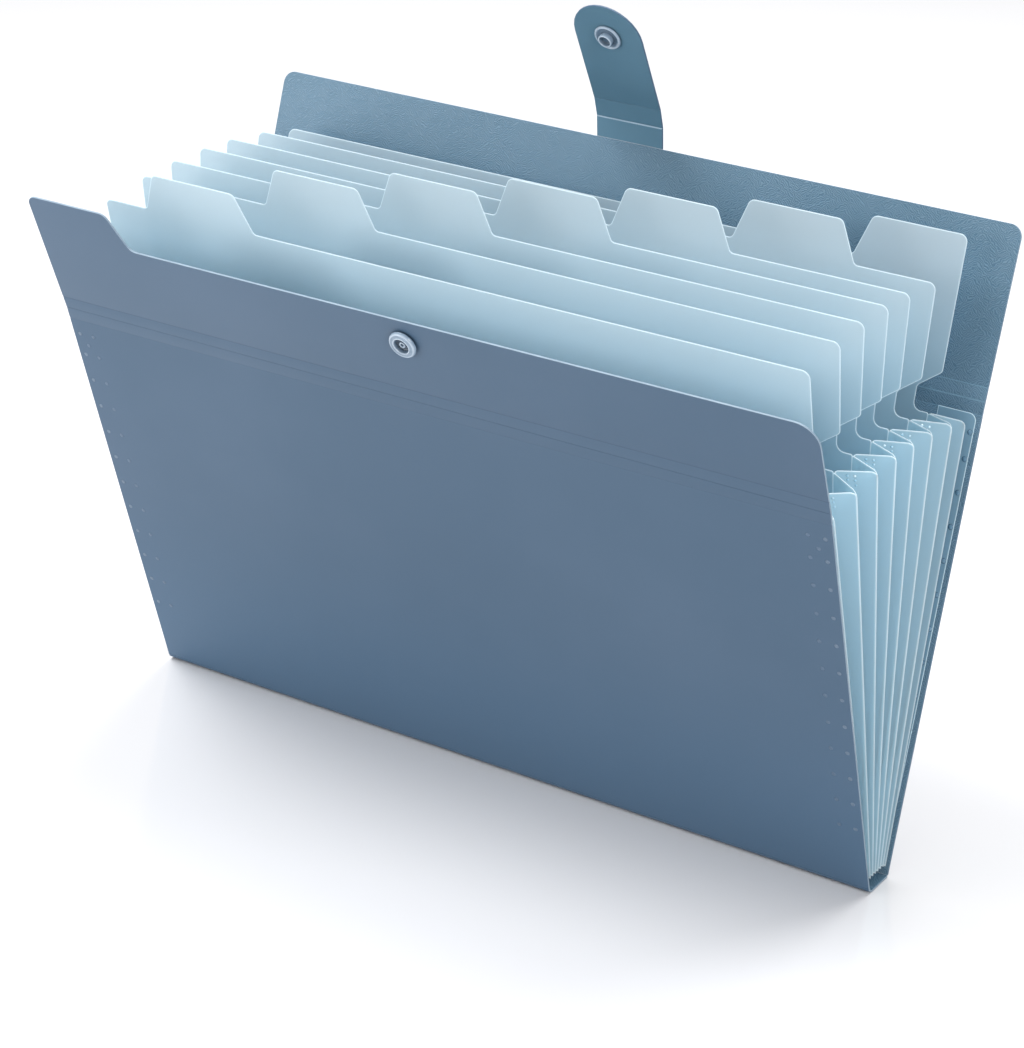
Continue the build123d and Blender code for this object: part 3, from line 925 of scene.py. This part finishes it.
def pleatTree():
    # a grid bends to a V between two sheets, and the same grid moved in by the film is its inner face
    corners = ("frontLow", "frontHigh", "foldLow", "foldHigh", "backLow", "backHigh")
    numbers = ("film", "depth", "height", "corner", "seatCorner", "paleEdge")
    tree, start, end = newTree("pleats", numbers, corners)
    get = start.outputs
    size = {"Size X": 1.0, "Size Y": 1.0}
    size.update({"Vertices X": gusset["pointsAcross"], "Vertices Y": gusset["pointsAlong"]})
    grid = addNode(tree, "GeometryNodeMeshGrid", size).outputs
    flat = storeNode(tree, grid["Mesh"], "spot", grid["UV Map"], "FLOAT_VECTOR")
    part = addNode(tree, "ShaderNodeSeparateXYZ", {0: namedVector(tree, "spot")}).outputs

    # across is 0 at the fold and 1 at the seats; the grid gathers at all edges
    signed = mathNode(tree, "MULTIPLY_ADD", part[0], 2.0, -1.0)
    across = mathNode(tree, "COSINE", mathNode(tree, "MULTIPLY", signed, pi))
    across = mathNode(tree, "MULTIPLY_ADD", across, -0.5, 0.5)
    centred = mathNode(tree, "MULTIPLY_ADD", part[1], 2.0, -1.0)
    fromEnd = mathNode(tree, "SUBTRACT", 1.0, mathNode(tree, "ABSOLUTE", centred))
    reach = mathNode(tree, "SUBTRACT", 1.0, mathNode(tree, "POWER", fromEnd, gusset["endGather"]))
    reach = mathNode(tree, "MULTIPLY", mathNode(tree, "SIGN", centred), reach)
    climb = mathNode(tree, "MULTIPLY_ADD", reach, 0.5, 0.5)

    # the top corners are round, more at the fold than at the seats
    def roundCorner(radius, distance):
        near = mathNode(tree, "MAXIMUM", mathNode(tree, "SUBTRACT", radius, distance), 0.0)
        square = mathNode(tree, "POWER", near, 2.0)
        rest = mathNode(tree, "SUBTRACT", mathNode(tree, "POWER", radius, 2.0), square)
        return mathNode(tree, "SUBTRACT", radius, mathNode(tree, "SQRT", rest))

    toFold = mathNode(tree, "MULTIPLY", across, get["depth"])
    toSeat = mathNode(tree, "SUBTRACT", get["depth"], toFold)
    drop = mathNode(tree, "ADD", roundCorner(get["corner"], toFold), roundCorner(get["seatCorner"], toSeat))
    kept = mathNode(tree, "SUBTRACT", 1.0, mathNode(tree, "DIVIDE", drop, get["height"]))
    level = mathNode(tree, "MULTIPLY", climb, kept)

    fold = mixVector(tree, level, get["foldLow"], get["foldHigh"])
    front = mixVector(tree, level, get["frontLow"], get["frontHigh"])
    back = mixVector(tree, level, get["backLow"], get["backHigh"])
    middle = mixVector(tree, 0.5, front, back)
    seat = mixVector(tree, mathNode(tree, "GREATER_THAN", signed, 0.0), front, back)
    outer = mixVector(tree, across, fold, seat)

    # the inner face stops where its two walls meet
    seatReach = vectorNode(tree, "SUBTRACT", {0: seat, 1: middle}).outputs[0]
    halfGap = vectorNode(tree, "LENGTH", {0: seatReach}).outputs["Value"]
    tight = mathNode(tree, "DIVIDE", get["film"], halfGap)
    centre = mixVector(tree, mathNode(tree, "MAXIMUM", across, tight), fold, middle)
    spread = mathNode(tree, "MAXIMUM", mathNode(tree, "SUBTRACT", across, tight), 0.0)
    aside = vectorNode(tree, "SCALE", {0: seatReach, "Scale": spread}).outputs[0]
    inner = vectorNode(tree, "ADD", {0: centre, 1: aside}).outputs[0]

    toEnd = mathNode(tree, "MINIMUM", climb, mathNode(tree, "SUBTRACT", 1.0, climb))
    toEnd = mathNode(tree, "MULTIPLY", toEnd, get["height"])
    toSide = mathNode(tree, "MINIMUM", toFold, toSeat)
    toEdge = mathNode(tree, "DIVIDE", mathNode(tree, "MINIMUM", toSide, toEnd), get["paleEdge"])
    border = mathNode(tree, "MAXIMUM", mathNode(tree, "SUBTRACT", 1.0, toEdge), 0.0)
    marked = storeNode(tree, flat, "rim", border, "FLOAT")
    outside = addNode(tree, "GeometryNodeSetPosition", {"Geometry": marked, "Position": outer})
    lifted = {"Mesh": marked, "Offset Scale": gusset["lift"] * mm, "Individual": False}
    raised = addNode(tree, "GeometryNodeExtrudeMesh", lifted).outputs
    walls = addNode(tree, "GeometryNodeSetPosition", {"Geometry": raised["Mesh"], "Position": outer})
    inside = addNode(tree, "GeometryNodeSetPosition", {
        "Geometry": walls.outputs[0], "Selection": raised["Top"], "Position": inner,
    })
    both = addNode(tree, "GeometryNodeJoinGeometry")
    tree.links.new(inside.outputs[0], both.inputs[0])
    tree.links.new(outside.outputs[0], both.inputs[0])
    near = {"Geometry": both.outputs[0], "Distance": gusset["mergeWithin"] * mm}
    whole = addNode(tree, "GeometryNodeMergeByDistance", near)
    endTree(tree, whole.outputs[0], get["finish"], end)
    return tree


pleats = pleatTree()


def pleatSeats(number, height):
    frontInset = gusset["film"] if number == 1 else halfDivider
    backInset = gusset["film"] if number == pocketCount else halfDivider
    front = leafFrames[number - 1] @ Vector((0, height, -frontInset - gusset["weldGap"]))
    back = leafFrames[number] @ Vector((0, height, backInset + gusset["weldGap"]))
    return front, back


def pleatWelds(values, side):
    # a small group of weld marks near the top of both halves of a pleat
    spots = []
    up = (values["frontHigh"] - values["frontLow"]).normalized()
    for half, turn in (("front", side), ("back", -side)):
        seat = values[half + "High"]
        across = values["foldHigh"] - seat
        facing = across.cross(up).normalized() * turn
        for share, below in gusset["weldSpots"]:
            spots.append(((seat + across * (1 - share)) / mm - up * below, facing))
    return spots


def makePleat(name, number, side):
    piece = bpy.data.objects.new(name, bpy.data.meshes.new(name))
    scene.collection.objects.link(piece)
    values = {
        "film": gusset["film"] * mm,
        "depth": (gusset["edge"] - gusset["seat"]) * mm,
        "height": (gusset["top"] - gusset["bottom"]) * mm,
        "corner": gusset["corner"] * mm,
        "seatCorner": gusset["seatCorner"] * mm,
        "paleEdge": gusset["paleEdge"] * mm,
        "finish": gussetFilm,
    }
    for label, height, spread in (("Low", gusset["bottom"], gusset["spread"]), ("High", gusset["top"], 0)):
        front, back = pleatSeats(number, height)
        fold = (front + back) / 2
        front.x = back.x = side * gusset["seat"]
        fold.x = side * (gusset["edge"] + spread)
        values.update({"front" + label: front * mm, "fold" + label: fold * mm, "back" + label: back * mm})
    runTree(piece, pleats, values)
    marks = pleatWelds(values, side)
    foot = gusset["paintedWeldFootShade"]
    beads = makeWelds(name + "Welds", marks, gusset["weldRadius"], gusset["weldRise"], foot, filmWeld)
    absorb(piece, beads)
    bm = bmesh.new()
    bm.from_mesh(piece.data)
    bmesh.ops.recalc_face_normals(bm, faces=bm.faces)
    bm.to_mesh(piece.data)
    bm.free()
    piece.data.set_sharp_from_angle(angle=radians(gusset["sharp"]))
    return piece


sides = (("left", -1), ("right", 1))
for number in range(1, pocketCount + 1):
    body = f"divider_{number}" if number < pocketCount else "back_cover"
    for sideName, side in sides:
        piece = makePleat(f"{sideName}Pleat{number}", number, side)
        dress(piece, body, "gusset_film", f"{sideName}_pleat_{number}")
        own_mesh(piece)
print("pleats done:", 2 * pocketCount)


def flangeCorners(side):
    low, high = gusset["bottom"], gusset["flangeTop"]
    corners = [
        (gusset["seat"], low, 0),
        (gusset["flangeEdge"], low, 0),
        (gusset["flangeEdge"], high, gusset["flangeRadius"]),
        (gusset["seat"], high, 0),
    ]
    return corners if side > 0 else [(-x, y, radius) for x, y, radius in reversed(corners)]


def makeFlange(name, side, place, inward):
    front = gusset["film"] if inward > 0 else 0
    looks = (flangeFilm, flangeFilm, flangeFilm)
    piece = makeSheet(name, flangeCorners(side), place, front, front - gusset["film"], looks)
    facing = place.to_3x3() @ Vector((0, 0, inward))
    face = gusset["film"] * inward
    spots = [(side * x, y, face) for x in gusset["flangeColumns"] for y in weldHeights]
    marks = [(place @ Vector(spot), facing) for spot in spots]
    size = (gusset["flangeWeld"], gusset["flangeWeldRise"], gusset["paintedWeldFootShade"])
    return absorb(piece, makeWelds(name + "Welds", marks, *size, flangeWeld))


for sideName, side in sides:
    for coverName, place, inward in (("front", frontFrame, -1), ("back", backFrame, 1)):
        piece = makeFlange(f"{sideName}{coverName.capitalize()}Flange", side, place, inward)
        dress(piece, f"{coverName}_cover", "gusset_film", f"{sideName}_{coverName}_flange")
print("flanges done")

# metres and watts
studio = {
    "floorHalf": 3.0,
    "floorLevel": -0.0002,
    "floorTone": tint(214, 214, 216),
    "floorRough": 0.1,
    "floorGloss": 1.0,
    "skyPower": 0.47,
    "aim": (0, 0, 0.13),
    "lamps": (
        ("keyLamp", (-0.9, -0.28, 1.9), 0.85, 38.0),
        ("leftLamp", (-0.7, -0.85, 0.25), 0.8, 6.2),
        ("topLamp", (0.1, 0.8, 1.7), 1.6, 35.5),
        ("sideLamp", (1.5, -0.8, 1.05), 1.0, 22.0),
    ),
}
wide, low = studio["floorHalf"], studio["floorLevel"]
floorCorners = [(-wide, -wide, low), (wide, -wide, low), (wide, wide, low), (-wide, wide, low)]
floorMesh = bpy.data.meshes.new("floor")
floorMesh.from_pydata(floorCorners, [], [(0, 1, 2, 3)])
floor = bpy.data.objects.new("floor", floorMesh)
scene.collection.objects.link(floor)
floorPaint, tree, spot, out = startMaterial("floorPaint")
shader = addNode(tree, "ShaderNodeBsdfPrincipled", {
    "Base Color": studio["floorTone"], "Roughness": studio["floorRough"],
    "Specular IOR Level": studio["floorGloss"],
})
tree.links.new(shader.outputs[0], out.inputs[0])
floorMesh.materials.append(floorPaint)

sky = bpy.data.worlds.new("studioSky")
sky.use_nodes = True
sky.node_tree.nodes["Background"].inputs[0].default_value = (1, 1, 1, 1)
sky.node_tree.nodes["Background"].inputs[1].default_value = studio["skyPower"]
scene.world = sky
for name, place, size, power in studio["lamps"]:
    lamp = bpy.data.lights.new(name, "AREA")
    lamp.shape = "DISK"
    lamp.size = size
    lamp.energy = power
    holder = bpy.data.objects.new(name, lamp)
    holder.location = place
    holder.rotation_euler = (Vector(studio["aim"]) - Vector(place)).to_track_quat("-Z", "Y").to_euler()
    scene.collection.objects.link(holder)
scene.view_settings.view_transform = "Standard"

# camera at the photograph's angle, with the focal length in pixels of its rows
shot = {
    "rows": 1048,
    "sensor": 36,
    "clip": (0.01, 50),
    "focal": 3013.68,
    "azimuth": 32.2949,
    "elevation": 24.6125,
    "roll": 1.4312,
    "offset": (-1.4661, -93.9641, -1202.3021),
}
azimuth, elevation, roll = (radians(shot[key]) for key in ("azimuth", "elevation", "roll"))
away = Vector((sin(azimuth) * cos(elevation), -cos(azimuth) * cos(elevation), sin(elevation)))
level = Vector((cos(azimuth), sin(azimuth), 0))
above = away.cross(level)
rightward = level * cos(roll) + above * sin(roll)
upward = above * cos(roll) - level * sin(roll)
turned = Matrix((rightward, upward, away)).transposed()
lens = bpy.data.cameras.new("photoView")
lens.sensor_fit = "VERTICAL"
lens.sensor_height = shot["sensor"]
lens.lens = lens.sensor_height * shot["focal"] / shot["rows"]
lens.clip_start, lens.clip_end = shot["clip"]
camera = bpy.data.objects.new("photoView", lens)
camera.matrix_world = Matrix.Translation(-(turned @ Vector(shot["offset"])) * mm) @ turned.to_4x4()
scene.collection.objects.link(camera)
scene.camera = camera
print("stage done")
